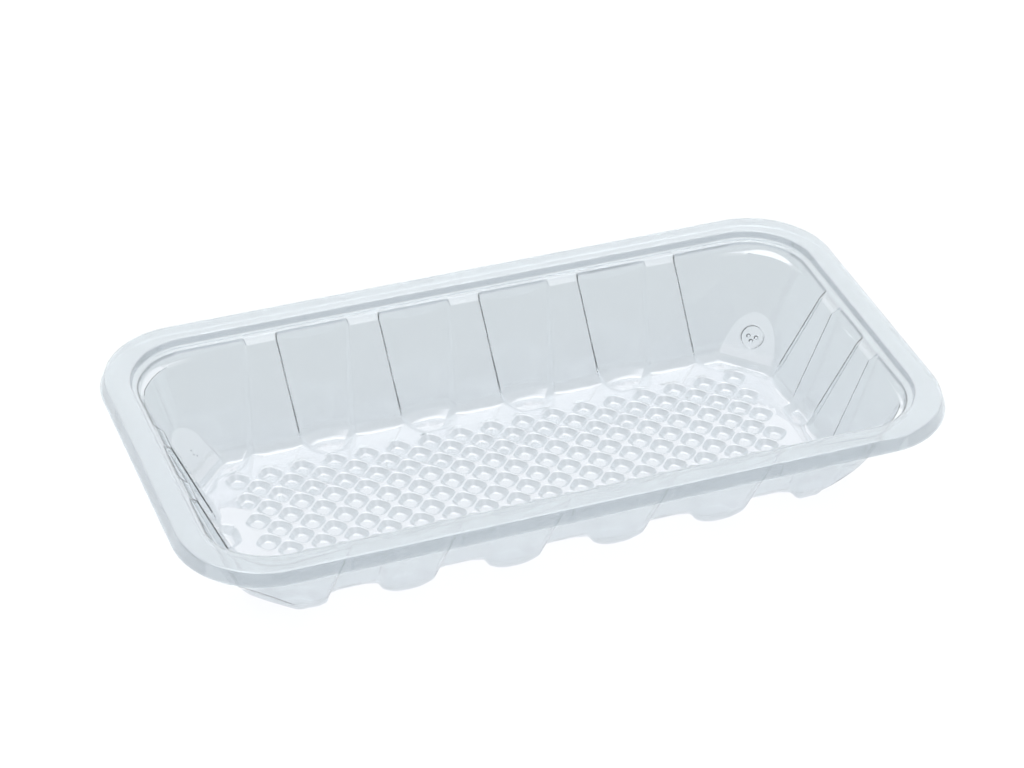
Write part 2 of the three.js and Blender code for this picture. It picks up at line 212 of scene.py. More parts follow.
# ------------------------------------------------------------------ settings
class TraySizes(bpy.types.PropertyGroup):
    length: bpy.props.FloatProperty(
        name="Length", description="Flange length, end to end", default=0.260, unit="LENGTH"
    )
    width: bpy.props.FloatProperty(
        name="Width", description="Flange width, side to side", default=0.1356, unit="LENGTH"
    )
    corner_radius: bpy.props.FloatProperty(
        name="Corner Radius", description="Radius of the flange's corners", default=0.028,
        unit="LENGTH",
    )
    height: bpy.props.FloatProperty(
        name="Height", description="Table to the top of the rim", default=0.041, unit="LENGTH"
    )
    sheet: bpy.props.FloatProperty(
        name="Sheet", description="Thickness of the plastic sheet", default=0.0005, unit="LENGTH"
    )
    skirt_drop: bpy.props.FloatProperty(
        name="Skirt Drop", description="Height of the rim's turned-down skirt", default=0.00445,
        unit="LENGTH",
    )
    skirt_flare: bpy.props.FloatProperty(
        name="Skirt Flare", description="How far the skirt's foot stands out past the flange",
        default=0.00165, unit="LENGTH",
    )
    pocket_pitch: bpy.props.FloatProperty(
        name="Pocket Pitch", description="Spacing of the floor pockets in a row",
        default=0.01133, unit="LENGTH",
    )
    pocket_side: bpy.props.FloatProperty(
        name="Pocket Side", description="Side of a pocket's diamond at the floor",
        default=0.0072, unit="LENGTH",
    )
    pocket_foot: bpy.props.FloatProperty(
        name="Pocket Foot", description="Side of a pocket's diamond at its bottom",
        default=0.0043, unit="LENGTH",
    )
    pocket_depth: bpy.props.FloatProperty(
        name="Pocket Depth", description="Floor to the bottom of a pocket", default=0.0021,
        unit="LENGTH",
    )
    pocket_first_row: bpy.props.FloatProperty(
        name="First Row", description="Distance of the back row of pockets from the middle",
        default=0.0266, unit="LENGTH",
    )


class TrayFinish(bpy.types.PropertyGroup):
    wall_tint: bpy.props.StringProperty(
        name="Wall Tint", description="Tint of the clear walls, sRGB hex", default="d2d9dd"
    )
    # painted light: the floor and the other flat parts take this lighter tint, as if lit from
    # overhead
    flat_lit_tint: bpy.props.StringProperty(
        name="Floor Tint", description="Tint of the floor and other flat parts, sRGB hex",
        default="dfe4e8",
    )
    # painted shade: this darker tint goes on the floor's slopes, and a share of it on the pocket
    # bottoms and the feet's soles
    pocket_shade_tint: bpy.props.StringProperty(
        name="Pocket Tint", description="Tint of the thin sheet where it slopes, sRGB hex",
        default="d6dde1",
    )
    rim_tint: bpy.props.StringProperty(
        name="Rim Tint", description="Tint of the flat rim, sRGB hex", default="c8d0d5"
    )
    # painted shade: the rim's steep parts, the skirt and the lip, are painted with this darker
    # tint
    skirt_shade_tint: bpy.props.StringProperty(
        name="Skirt Tint", description="Tint of the rim's upright parts, sRGB hex",
        default="b9c1c7",
    )
    deep_tint: bpy.props.StringProperty(
        name="Deep Tint", description="Tint of the walls seen through another, sRGB hex",
        default="fdfefe",
    )
    shade_tint: bpy.props.StringProperty(
        name="Shade Tint", description="Falling light that one face lets through, sRGB hex",
        default="fdfdfe",
    )
    haze_tint: bpy.props.StringProperty(
        name="Haze Tint", description="Colour of the faint haze in the sheet, sRGB hex",
        default="eff4f8",
    )
    haze: bpy.props.FloatProperty(
        name="Haze", description="Share of the light that each face scatters", default=0.02,
        min=0.0, max=1.0, subtype="FACTOR",
    )
    roughness: bpy.props.FloatProperty(
        name="Roughness", description="Haze of the formed surface", default=0.03, min=0.0,
        max=1.0, subtype="FACTOR",
    )
    ior: bpy.props.FloatProperty(
        name="IOR", description="Refractive index of the plastic", default=1.57, min=1.0,
        max=2.0,
    )
    floor_colour: bpy.props.StringProperty(
        name="Floor", description="Colour of the studio floor, sRGB hex", default="d6d7d8"
    )


# ------------------------------------------------------------------ colours and nodes
def linear(hex_colour):
    """An sRGB hex colour as linear RGBA."""
    channels = [int(hex_colour[place:place + 2], 16) / 255 for place in (0, 2, 4)]
    return [*(c / 12.92 if c <= 0.04045 else ((c + 0.055) / 1.055) ** 2.4 for c in channels), 1.0]


def add_node(tree, kind, settings=(), inputs=()):
    """Adds a node with its settings. Each input is given a value or the socket that feeds it."""
    node = tree.nodes.new(kind)
    for name, value in dict(settings).items():
        setattr(node, name, value)
    for name, item in dict(inputs).items():
        if isinstance(item, bpy.types.NodeSocket):
            tree.links.new(item, node.inputs[name])
        else:
            node.inputs[name].default_value = item
    return node


def empty_material(name):
    """A material whose node tree holds only its output."""
    material = bpy.data.materials.new(name)
    material.use_nodes = True
    material.node_tree.nodes.clear()
    output = material.node_tree.nodes.new("ShaderNodeOutputMaterial")
    return material, material.node_tree, output


def raised_marks(tree, place):
    """How far the marks pressed into two gussets stand up: a plain ring with three small rings
    in it, and three dots."""
    height = 0.0
    for centre, radius, width in RAISED_MARKS:
        apart = add_node(
            tree, "ShaderNodeVectorMath", {"operation": "DISTANCE"},
            {0: place, 1: [value * MM for value in centre]},
        ).outputs["Value"]
        past = add_node(
            tree, "ShaderNodeMath", {"operation": "SUBTRACT"}, {0: apart, 1: radius * MM}
        ).outputs[0]
        off = add_node(tree, "ShaderNodeMath", {"operation": "ABSOLUTE"}, {0: past}).outputs[0]
        line = add_node(
            tree, "ShaderNodeMapRange", {"interpolation_type": "SMOOTHSTEP"},
            {"Value": off, "From Max": width * MM, "To Min": 1.0, "To Max": 0.0},
        ).outputs[0]
        height = add_node(
            tree, "ShaderNodeMath", {"operation": "ADD"}, {0: height, 1: line}
        ).outputs[0]
    return height


def sheet_tint(tree, finish, height, slope, behind):
    """The tint of the sheet at each place, with painted light and shade in it: flat parts are
    painted lighter than steep ones, and the pocket bottoms, the feet's soles and the rim's upright
    parts darker. The first sheet that is looked through takes it, and those behind it hardly any.
    Also gives where the walls and the rim are."""
    ramps = {}
    for name, source, (start, end), (low, high) in (
        ("wall", height, THIN_FLOOR, (0.0, 1.0)),
        ("rim", height, RIM_START, (0.0, 1.0)),
        ("above", height, FLOOR_TINT, (0.0, 1.0)),
        ("low_shade", height, SUNK, (LOW_SHADE_SHARE, 0.0)),
        ("slope_shade", slope, FLAT_LIT_SLOPES, (0.0, 1.0)),
        ("upright", slope, UPRIGHT, (0.0, 1.0)),
    ):
        ramps[name] = add_node(
            tree, "ShaderNodeMapRange", {"interpolation_type": "SMOOTHSTEP"},
            {"Value": source, "From Min": start, "From Max": end, "To Min": low, "To Max": high},
        ).outputs[0]
    # painted light and shade: flat parts take the lighter flat tint; steep parts, pocket bottoms
    # and the feet's soles take the darker one
    shaded = add_node(
        tree, "ShaderNodeMath", {"operation": "MAXIMUM"}, {0: ramps["slope_shade"], 1: ramps["low_shade"]}
    ).outputs[0]
    tints = {
        name: linear(getattr(finish, name)) for name in finish.__annotations__ if "_tint" in name
    }
    for name, share, first, second in (
        ("slanting", ramps["above"], "pocket_shade_tint", "wall_tint"),
        ("body", shaded, "flat_lit_tint", "slanting"),
        # painted shade: the rim's steep parts take the darker skirt tint
        ("top", ramps["upright"], "rim_tint", "skirt_shade_tint"),
        ("first", ramps["rim"], "body", "top"),
        ("tint", behind, "first", "deep_tint"),
    ):
        tints[name] = add_node(
            tree, "ShaderNodeMix", {"data_type": "RGBA"},
            {0: share, 6: tints[first], 7: tints[second]},
        ).outputs[2]
    return tints["tint"], ramps["wall"], ramps["rim"]


def thin_sheet(tree, finish, tint, behind, backfacing, normal):
    """A sheet too thin to bend what is seen through it, whose nearer face mirrors for both."""
    face_tint = add_node(tree, "ShaderNodeGamma", inputs={"Color": tint, "Gamma": 0.5})
    clear = add_node(
        tree, "ShaderNodeBsdfTransparent", inputs={"Color": face_tint.outputs["Color"]}
    ).outputs["BSDF"]
    gloss = add_node(
        tree, "ShaderNodeBsdfGlossy",
        inputs={"Color": linear("ffffff"), "Roughness": finish.roughness, "Normal": normal},
    ).outputs["BSDF"]
    mirror = add_node(tree, "ShaderNodeFresnel", inputs={"IOR": BOTH_FACES_IOR}).outputs["Fac"]
    front = add_node(
        tree, "ShaderNodeMath", {"operation": "SUBTRACT"}, {0: 1.0, 1: backfacing}
    ).outputs[0]
    left = add_node(
        tree, "ShaderNodeMath", {"operation": "MULTIPLY_ADD"},
        {0: behind, 1: MIRRORED_BEHIND - 1.0, 2: 1.0},
    ).outputs[0]
    for operation, factor in (
        ("MINIMUM", MOST_MIRRORED), ("MULTIPLY", left), ("MULTIPLY", front),
    ):
        mirror = add_node(
            tree, "ShaderNodeMath", {"operation": operation}, {0: mirror, 1: factor}
        ).outputs[0]
    return add_node(
        tree, "ShaderNodeMixShader", inputs={0: mirror, 1: clear, 2: gloss}
    ).outputs[0]


def clear_sheet_material(finish):
    """Thermoformed APET: a clear, hard, glossy sheet. The walls bend what is seen through them.
    The floor and the feet, where the sheet is drawn thinnest, let it through almost straight, and
    so does some of the rim. Light on its way to what it falls on passes straight through."""
    material, tree, output = empty_material("clear_thermoformed_apet")
    path = add_node(tree, "ShaderNodeLightPath").outputs
    geometry = add_node(tree, "ShaderNodeNewGeometry").outputs
    place = add_node(tree, "ShaderNodeTexCoord").outputs["Object"]
    height = add_node(tree, "ShaderNodeSeparateXYZ", inputs={"Vector": place}).outputs["Z"]
    facing = add_node(
        tree, "ShaderNodeSeparateXYZ", inputs={"Vector": geometry["True Normal"]}
    ).outputs["Z"]
    level = add_node(tree, "ShaderNodeMath", {"operation": "ABSOLUTE"}, {0: facing}).outputs[0]
    slope = add_node(
        tree, "ShaderNodeMath", {"operation": "SUBTRACT"}, {0: 1.0, 1: level}
    ).outputs[0]
    faces = add_node(
        tree, "ShaderNodeMath", {"operation": "ADD"},
        {0: path["Transmission Depth"], 1: path["Transparent Depth"]},
    ).outputs[0]
    behind = add_node(
        tree, "ShaderNodeMath", {"operation": "GREATER_THAN"}, {0: faces, 1: FIRST_SHEET}
    ).outputs[0]
    # the tint holds painted light and shade: lighter where the sheet lies flat, darker where it is
    # steep, at the pocket bottoms and feet's soles, and on the rim's upright parts
    tint, wall, rim = sheet_tint(tree, finish, height, slope, behind)

    waves = add_node(
        tree, "ShaderNodeTexNoise",
        inputs={"Scale": WAVE_SCALE, "Detail": 2.0, "Vector": place},
    ).outputs["Fac"]
    wavy = add_node(
        tree, "ShaderNodeBump",
        inputs={"Strength": WAVE_STRENGTH, "Distance": WAVE_HEIGHT, "Height": waves},
    ).outputs["Normal"]
    marked = add_node(
        tree, "ShaderNodeBump",
        inputs={
            "Strength": 1.0, "Distance": MARK_HEIGHT, "Height": raised_marks(tree, place),
            "Normal": wavy,
        },
    ).outputs["Normal"]
    thick = add_node(
        tree, "ShaderNodeBsdfPrincipled",
        inputs={
            "Roughness": finish.roughness, "IOR": finish.ior, "Transmission Weight": 1.0,
            "Base Color": tint, "Normal": marked,
        },
    ).outputs["BSDF"]
    bending = add_node(
        tree, "ShaderNodeMath", {"operation": "MULTIPLY_ADD"}, {0: rim, 1: -THIN_RIM, 2: wall}
    ).outputs[0]
    milk = add_node(
        tree, "ShaderNodeBsdfDiffuse", inputs={"Color": linear(finish.haze_tint)}
    ).outputs["BSDF"]
    shade = add_node(
        tree, "ShaderNodeBsdfTransparent", inputs={"Color": linear(finish.shade_tint)}
    ).outputs["BSDF"]
    falling = add_node(
        tree, "ShaderNodeMath", {"operation": "MAXIMUM"},
        {0: path["Is Shadow Ray"], 1: path["Is Diffuse Ray"]},
    ).outputs[0]
    sheet = thin_sheet(tree, finish, tint, behind, geometry["Backfacing"], wavy)
    for share, other in ((bending, thick), (finish.haze, milk), (falling, shade)):
        sheet = add_node(
            tree, "ShaderNodeMixShader", inputs={0: share, 1: sheet, 2: other}
        ).outputs[0]
    tree.links.new(sheet, output.inputs["Surface"])
    return material


# ------------------------------------------------------------------ laying out the mould
def mix(a, b, share):
    return a + (b - a) * share


def soft_least(a, b):
    """The smaller of two lengths, with a rounded change from one to the other."""
    return (a + b - math.hypot(a - b, SOLE_CORNER_ROUND)) / 2


def between(stops, place):
    """The values at a place, from a sorted list of (place, value, ...) stops."""
    if place <= stops[0][0]:
        return stops[0][1:]
    for low, high in zip(stops, stops[1:]):
        if place <= high[0]:
            share = (place - low[0]) / (high[0] - low[0])
            return tuple(mix(a, b, share) for a, b in zip(low[1:], high[1:]))
    return stops[-1][1:]


def ring_at(depth):
    """Half length, half width and corner radius of the plain wall at a depth."""
    return between([(ring[3], *ring[:3]) for ring in WALL_RINGS], depth)


def rib_half(wall, out, depth):
    """Half the width of a rib, at a distance out from the middle of the tray and a depth."""
    top, foot = wall["rib_top"], wall["rib_foot"]
    lean = wall["lean"] * (foot["out"] - top["out"])
    widening = (foot["half"] - top["half"] - lean) / (foot["depth"] - top["depth"])
    return top["half"] + wall["lean"] * (out - top["out"]) + widening * (depth - top["depth"])


def rib_out(wall, depth):
    """How far out a rib's face is at a depth."""
    top, foot = wall["rib_top"], wall["rib_foot"]
    return mix(top["out"], foot["out"], (depth - top["depth"]) / (foot["depth"] - top["depth"]))


def bay_out(wall, across, depth):
    """How far out the bulged wall of a bay is, "across" from the bay's middle."""
    top, foot = wall["bay_top"], wall["bay_foot"]
    share = (depth - top["depth"]) / (foot["depth"] - top["depth"])
    half = mix(top["half"], foot["half"], share)
    crown = mix(top["crown"], foot["crown"], share)
    return mix(top["out"], foot["out"], share) + crown * max(0.0, 1 - (across / half) ** 2)


def side_out(wall, depth, plain):
    """How far out a rib's side meets the wall behind it. A plain wall is a corner's."""
    if plain:
        return ring_at(depth)[1 if wall is LONG_WALL else 0]
    out = bay_out(wall, wall["bay_top"]["half"], depth)
    for _ in range(SIDE_PASSES):
        half = wall["pitch"] / 2 - rib_half(wall, out, depth)
        out = bay_out(wall, half, depth)
    return out


def rim_rows(sizes, place):
    """The rows from the skirt's foot to the ledge, where "place" puts a ring's point."""
    length, width = sizes.length / MM / 2, sizes.width / MM / 2
    radius = sizes.corner_radius / MM
    flare, drop = sizes.skirt_flare / MM, sizes.skirt_drop / MM
    skirt = (length + flare, width + flare, radius + flare, drop)
    flange = (length, width, radius, 0.0)
    return [place(ring) for ring in (skirt, flange, MOUTH, LIP_FOOT, LEDGE_EDGE)]


def wall_rows(crest, foot, point):
    """The rows down a wall or a rib's face, from its crest to its foot."""
    upper = max(WALL_TOP[3], crest + BELOW_CREST)
    lower = min(WALL_MIDDLE[3], mix(crest, foot, LOWER_ROW))
    return [point(depth) for depth in (crest, upper, lower, foot)]


def face_column(wall, sizes, centre, spread, side=0, corner=None):
    """A column of a rib's face: "spread" runs from -1 to 1 across it. At its edges, "side" says
    which bay lies beside it, and "corner" gives the floor there if that bay is a corner's."""
    def rim_point(ring):
        half = rib_half(wall, wall["ledge"], LEDGE_EDGE[3]) * spread
        return (centre + half, ring[1 if wall is LONG_WALL else 0], ring[3])

    def face_point(depth):
        out = rib_out(wall, depth)
        return (centre + spread * rib_half(wall, out, depth), out, depth)

    rows = rim_rows(sizes, rim_point) + wall_rows(wall["rib_top"]["depth"], NECK_DEPTH, face_point)
    neck = rib_out(wall, NECK_DEPTH)
    half_pitch = wall["pitch"] / 2
    if side == 0:
        outs = [mix(neck, wall["toe_foot"], 0.5)]
        outs += [mix(wall["toe_foot"], wall["plateau"], share) for share in TOE_STOPS]
        outs.append(wall["plateau"])
        halves = [half_pitch - edge[0] for edge in wall["floor_side"]]
        halves.append(halves[-1])
        places = [(centre + spread * half, out) for half, out in zip(halves, outs)]
    elif corner:
        places = corner
    else:
        places = [(centre + side * (half_pitch - edge[0]), edge[1]) for edge in wall["floor_side"]]
        places.append((places[-1][0], wall["plateau"]))
    depths = [mix(NECK_DEPTH, FLOOR_DEPTH, 0.5), *[FLOOR_DEPTH] * 5]
    return rows + [(along, out, depth) for (along, out), depth in zip(places, depths)]


def side_column(wall, sizes, centre, side, corner=None):
    """The column where a rib's side meets the wall behind it."""
    def rim_point(ring):
        half = rib_half(wall, wall["ledge"], LEDGE_EDGE[3]) + LEDGE_SPREAD
        return (centre + side * half, ring[1 if wall is LONG_WALL else 0], ring[3])

    def foot_point(depth):
        out = side_out(wall, depth, bool(corner))
        if depth <= wall["crest"]["depth"]:
            out = wall["crest"]["out"]
        return (centre + side * rib_half(wall, out, depth), out, depth)

    rows = rim_rows(sizes, rim_point) + wall_rows(wall["crest"]["depth"], NECK_DEPTH, foot_point)
    if corner:
        return rows + corner
    half_pitch = wall["pitch"] / 2
    edges = (
        wall["foot_outer"]["edge"], wall["sole_outer"]["edge"], wall["sole_side"],
        wall["sole_inner"]["edge"], wall["foot_inner"]["edge"],
    )
    edges += ((wall["foot_inner"]["edge"][0], wall["plateau"]),)
    depths = (FLOOR_DEPTH, *[FOOT_DEPTH] * 3, FLOOR_DEPTH, FLOOR_DEPTH)
    rows += [
        (centre + side * (half_pitch - half), out, depth)
        for (half, out), depth in zip(edges, depths)
    ]
    return rows


def bay_column(wall, sizes, centre, spread):
    """A column of a bay: "spread" runs from -1 to 1 between the two ribs' sides."""
    half_pitch = wall["pitch"] / 2

    def rim_point(ring):
        half = half_pitch - rib_half(wall, wall["ledge"], LEDGE_EDGE[3]) - LEDGE_SPREAD
        return (centre + spread * half, ring[1 if wall is LONG_WALL else 0], ring[3])

    crest = wall["crest"]["depth"] + wall["crest"]["dip"] * (1 - spread * spread)

    def bay_point(depth):
        half = half_pitch - rib_half(wall, side_out(wall, depth, False), depth)
        if depth <= crest:
            return (centre + spread * half, wall["crest"]["out"], depth)
        return (centre + spread * half, bay_out(wall, spread * half, depth), depth)

    rows = rim_rows(sizes, rim_point) + wall_rows(crest, NECK_DEPTH, bay_point)
    bulge = abs(spread) ** BULGE_POWER
    for name, depth in (
        ("foot_outer", FLOOR_DEPTH), ("sole_outer", FOOT_DEPTH), ("sole_inner", FOOT_DEPTH),
        ("foot_inner", FLOOR_DEPTH),
    ):
        half, edge = wall[name]["edge"]
        rows.append((centre + spread * half, mix(wall[name]["middle"], edge, bulge), depth))
    rows.append((centre + spread * half, wall["plateau"], FLOOR_DEPTH))
    half, out = wall["sole_side"]
    rows.insert(-3, (centre + spread * half, out, FOOT_DEPTH))
    return rows


def corner_floor(stop, gusset_place=None):
    """The rows of a corner's floor at a stop. "gusset_place" is where the gusset's foot is."""
    places = {name: between(stops, stop) for name, stops in CORNER_FLOOR.items()}
    if gusset_place is not None:
        fall = GUSSET_FOOT_FALL
        places["foot_outer"] = gusset_place
        places["sole_outer"] = tuple(
            soft_least(value - fall, most) for value, most in zip(gusset_place, SOLE_REACH)
        )
    middle = tuple(mix(a, b, 0.5) for a, b in zip(places["sole_outer"], places["sole_inner"]))
    return [
        (*places["foot_outer"], FLOOR_DEPTH), (*places["sole_outer"], FOOT_DEPTH),
        (*middle, FOOT_DEPTH), (*places["sole_inner"], FOOT_DEPTH),
        (*places["foot_inner"], FLOOR_DEPTH), (*places["plateau"], FLOOR_DEPTH),
    ]


def corner_column(sizes, place, crest, stop, on_gusset, shelf=0.0):
    """A column of a corner. "place" puts a ring's point, and "stop" is its place on the floor.
    "shelf" is the width of the crescent below the crest."""
    def wall_point(depth):
        if depth <= crest:
            return place((*UPRIGHT_FOOT[:3], depth))
        return place((*ring_at(depth), depth))

    rows = rim_rows(sizes, place)
    if not on_gusset:
        return rows + wall_rows(crest, NECK_DEPTH, wall_point) + corner_floor(stop)
    low, high = crest + BELOW_CREST, FLOOR_DEPTH - GUSSET_LOWEST
    for _ in range(HALVINGS):
        depth = (low + high) / 2
        x, y, _ = wall_point(depth)
        above = x + y - GUSSET_SUM < math.sqrt(2) * (FLOOR_DEPTH - depth)
        low, high = (depth, high) if above else (low, depth)
    x, y, _ = wall_point(low)
    across = ((y - GUSSET_FOOT[1]) - (x - GUSSET_FOOT[0])) / 2
    foot = (GUSSET_FOOT[0] - across, GUSSET_FOOT[1] + across)
    wall = wall_rows(crest, low, wall_point)
    if shelf:
        length, width, radius, depth = UPRIGHT_FOOT
        depth = mix(crest, depth, CRESCENT_LEVEL) + CRESCENT_FALL
        wall[1] = place((length - shelf, width - shelf, radius - shelf, depth))
    return rows + wall + corner_floor(stop, foot)


def corner_columns(sizes, long_centre, end_centre):
    """The columns of a corner, from the last long rib's side to the first end rib's side."""
    def rib_side(wall, centre, depth):
        depth = max(depth, LEDGE_EDGE[3])
        return centre + rib_half(wall, side_out(wall, depth, True), depth)

    def run_place(share):
        def place(ring):
            length, width, radius, depth = ring
            start = rib_side(LONG_WALL, long_centre, depth)
            return (mix(start, length - radius, share), width, depth)
        return place

    def arc_place(angle):
        def place(ring):
            length, width, radius, depth = ring
            x = length - radius + radius * math.cos(angle)
            y = width - radius + radius * math.sin(angle)
            return (x, y, depth)
        return place

    def end_place(share):
        def place(ring):
            length, width, radius, depth = ring
            start = rib_side(END_WALL, end_centre, depth)
            return (length, mix(width - radius, start, share), depth)
        return place

    columns = []
    gusset_start = CORNER_RUN[CORNER_RUN_GUSSET]
    for number, share in enumerate(CORNER_RUN):
        crest = mix(LONG_WALL["crest"]["depth"], UPRIGHT_FOOT[3] + UPRIGHT_DIP, share)
        on_gusset = number >= CORNER_RUN_GUSSET
        stop = share / gusset_start - 1 if not on_gusset else (share - gusset_start) * STOP_RUN
        columns.append(corner_column(sizes, run_place(share), crest, stop, on_gusset))
    first = (1 - gusset_start) * STOP_RUN
    last = 2 - CORNER_END[CORNER_END_GUSSET] * STOP_RUN
    for step in range(ARC_STEPS + 1):
        angle = math.radians(90 * (1 - step / ARC_STEPS))
        off = (math.degrees(angle) - 45) / CRESCENT_HALF
        rise = max(0.0, 1 - off * off)
        crest = UPRIGHT_FOOT[3] + UPRIGHT_DIP * (1 - rise)
        stop = mix(first, last, step / ARC_STEPS)
        shelf = mix(CRESCENT_ENDS, CRESCENT_WIDTH, rise) if rise else 0.0
        columns.append(corner_column(sizes, arc_place(angle), crest, stop, True, shelf))
    gusset_end = CORNER_END[CORNER_END_GUSSET]
    for number, share in enumerate(CORNER_END):
        crest = mix(UPRIGHT_FOOT[3] + UPRIGHT_DIP, END_WALL["crest"]["depth"], share)
        on_gusset = number <= CORNER_END_GUSSET
        stop = mix(last, 2, share / gusset_end)
        if not on_gusset:
            stop = 2 + (share - gusset_end) / (1 - gusset_end)
        columns.append(corner_column(sizes, end_place(share), crest, stop, on_gusset))
    return columns


def turned(column):
    """Points with their first two coordinates swapped: the end wall's are (along, out, depth),
    and its along is Y."""
    return [(out, along, depth) for along, out, depth in column]


def rib_columns(wall, sizes, centre, corner=None):
    """The columns across a rib. "corner" is the floor on its far side where that is a corner's."""
    far_face = corner["face"] if corner else None
    far_side = corner["side"] if corner else None
    sharp = (EDGE_ROUND if wall is LONG_WALL else END_EDGE_ROUND, ROUND_STEPS)
    return [
        (side_column(wall, sizes, centre, -1), *sharp),
        (face_column(wall, sizes, centre, -1, -1), *sharp),
        *[(face_column(wall, sizes, centre, spread), 0, 0) for spread in FACE_SPREAD],
        (face_column(wall, sizes, centre, 1, 1, far_face), *sharp),
        (side_column(wall, sizes, centre, 1, far_side), *sharp),
    ]


def quarter_columns(sizes):
    """The columns of a quarter of the tray, from the middle of a long wall, round a corner, to
    the middle of an end wall: each is its rows of points, its rounding and its round's steps."""
    pitch = LONG_WALL["pitch"]
    ribs = [
        rib_columns(LONG_WALL, sizes, 0)[3:],
        rib_columns(LONG_WALL, sizes, pitch),
        rib_columns(LONG_WALL, sizes, 2 * pitch, {
            "face": [*LONG_RIB_CORNER_SIDE, LONG_RIB_CORNER_PLATEAU],
            "side": corner_floor(-1),
        }),
    ]
    columns = []
    for number, rib in enumerate(ribs):
        columns += rib
        if number + 1 < len(ribs):
            middle = (number + 0.5) * pitch
            columns += [
                (bay_column(LONG_WALL, sizes, middle, spread), 0, 0) for spread in BAY_SPREAD
            ]
    end_centre = END_WALL["pitch"] / 2
    columns += [(column, 0, 0) for column in corner_columns(sizes, 2 * pitch, end_centre)]
    end_rib = rib_columns(END_WALL, sizes, end_centre, {
        "face": [(y, x) for x, y in (*END_RIB_CORNER_SIDE, END_RIB_CORNER_PLATEAU)],
        "side": turned(corner_floor(3)),
    })
    columns += [(turned(column), *rounding) for column, *rounding in reversed(end_rib)]
    for spread in reversed([place for place in BAY_SPREAD if place >= 0]):
        columns.append((turned(bay_column(END_WALL, sizes, 0, spread)), 0, 0))
    return columns


def rounded(points, roundings):
    """A line of points with each corner rounded by (setback, steps)."""
    line = []
    for place, (point, (setback, steps)) in enumerate(zip(points, roundings)):
        if not steps:
            line.append(point)
            continue
        before, after = points[place - 1] - point, points[place + 1] - point
        start = point + before * min(LONGEST_ROUND, setback / max(before.length, 1e-9))
        end = point + after * min(LONGEST_ROUND, setback / max(after.length, 1e-9))
        for step in range(steps + 1):
            share = step / steps
            line.append(start.lerp(point, share).lerp(point.lerp(end, share), share))
    return line


ROW_ROUNDS = (
    (0, 0),  # skirt's foot
    (0.8, ROUND_STEPS),  # flange's outer edge
    (0.7, ROUND_STEPS),  # mouth
    (0.5, ROUND_STEPS),  # foot of the lip
    (0.5, ROUND_STEPS),  # edge of the ledge
    (0.5, ROUND_STEPS),  # crest of the wall
    (0, 0),
    (0, 0),
    (1.6, ROUND_STEPS),  # neck
    (0.6, ROUND_STEPS),  # where the foot leaves the floor
    (1.1, ROUND_STEPS),  # outer edge of the sole
    (0, 0),
    (1.2, ROUND_STEPS),  # inner edge of the sole
    (0.8, ROUND_STEPS),  # where the foot meets the floor
    (0, 0),
)
NECK_ROW = 8
ON_GUSSET = 0.01  # a point this near the gusset's plane lies on it


def quarter_points(sizes):
    """The points of a quarter of the sheet, as a list of columns from the skirt to the floor."""
    columns = quarter_columns(sizes)
    roundings = [(setback, steps) for _, setback, steps in columns]
    rows = []
    for number in range(len(ROW_ROUNDS)):
        points = [Vector(column[number]) for column, _, _ in columns]
        rows.append(rounded(points, roundings))
    lines = []
    for column in zip(*rows):
        rounds = list(ROW_ROUNDS)
        x, y, depth = column[NECK_ROW]
        if abs(x + y - GUSSET_SUM - math.sqrt(2) * (FLOOR_DEPTH - depth)) < ON_GUSSET:
            rounds[NECK_ROW] = (ARCH_ROUND, ROUND_STEPS)
        lines.append(rounded(list(column), rounds))
    return lines


# ------------------------------------------------------------------ modelling helpers
SAME_POINT = 1e-7  # metres between points that are merged
SAME_SEAM = 2e-6  # the same where two quarters meet
OFF_FLOOR = 1e-5  # an edge with an end further from the floor's level isn't on it
ON_FLOOR = 1e-6  # a face whose middle is nearer is part of it
SMOOTH_ANGLE = 40
SMOOTH_WEIGHT = 60


def deselect():
    bpy.ops.object.select_all(action="DESELECT")


def only(piece):
    """Makes a piece the one that is selected and active."""
    deselect()
    piece.select_set(True)
    bpy.context.view_layer.objects.active = piece


def add_modifier(piece, kind, **settings):
    """Adds a modifier with its settings and applies it."""
    only(piece)
    modifier = piece.modifiers.new(kind.title(), kind)
    for name, value in settings.items():
        setattr(modifier, name, value)
    bpy.ops.object.modifier_apply(modifier=modifier.name)


def edit(piece, mode, *steps):
    """Runs edit-mode steps on a piece, in a select mode, from what was last selected in it."""
    only(piece)
    bpy.ops.object.mode_set(mode="EDIT")
    bpy.ops.mesh.select_mode(type=mode)
    for step in steps:
        step()
    bpy.ops.object.mode_set(mode="OBJECT")


def join(pieces, name):
    """Joins pieces into the first and names it."""
    deselect()
    for piece in pieces:
        piece.select_set(True)
    bpy.context.view_layer.objects.active = pieces[0]
    bpy.ops.object.join()
    piece = bpy.context.view_layer.objects.active
    piece.name = name
    piece.data.name = name
    return piece


def thicken(piece, thickness):
    """Gives a surface an even thickness below it. In a tight fold the underside would shoot out,
    so there it is held back."""
    count = len(piece.data.vertices)
    add_modifier(
        piece, "SOLIDIFY", thickness=thickness, offset=-1, use_even_offset=True,
        use_quality_normals=True,
    )
    vertices = piece.data.vertices
    longest = FOLD_REACH * thickness
    for number in range(count):
        upper, lower = vertices[number].co, vertices[count + number].co
        reach = lower - upper
        if reach.length > longest:
            vertices[count + number].co = upper + reach * (longest / reach.length)
    piece.data.update()


def drawn_quarter(sizes):
    """A flat grid drawn down over a quarter of the mould."""
    columns = quarter_points(sizes)
    across, down = len(columns), len(columns[0])
    deselect()
    bpy.ops.mesh.primitive_grid_add(
        x_subdivisions=across - 1, y_subdivisions=down - 1, size=sizes.length, location=(0, 0, 0)
    )
    piece = bpy.context.object
    height = sizes.height / MM
    for number, vertex in enumerate(piece.data.vertices):
        x, y, depth = columns[number % across][number // across]
        vertex.co = Vector((x, y, height - depth)) * MM
    piece.data.update()
    return piece


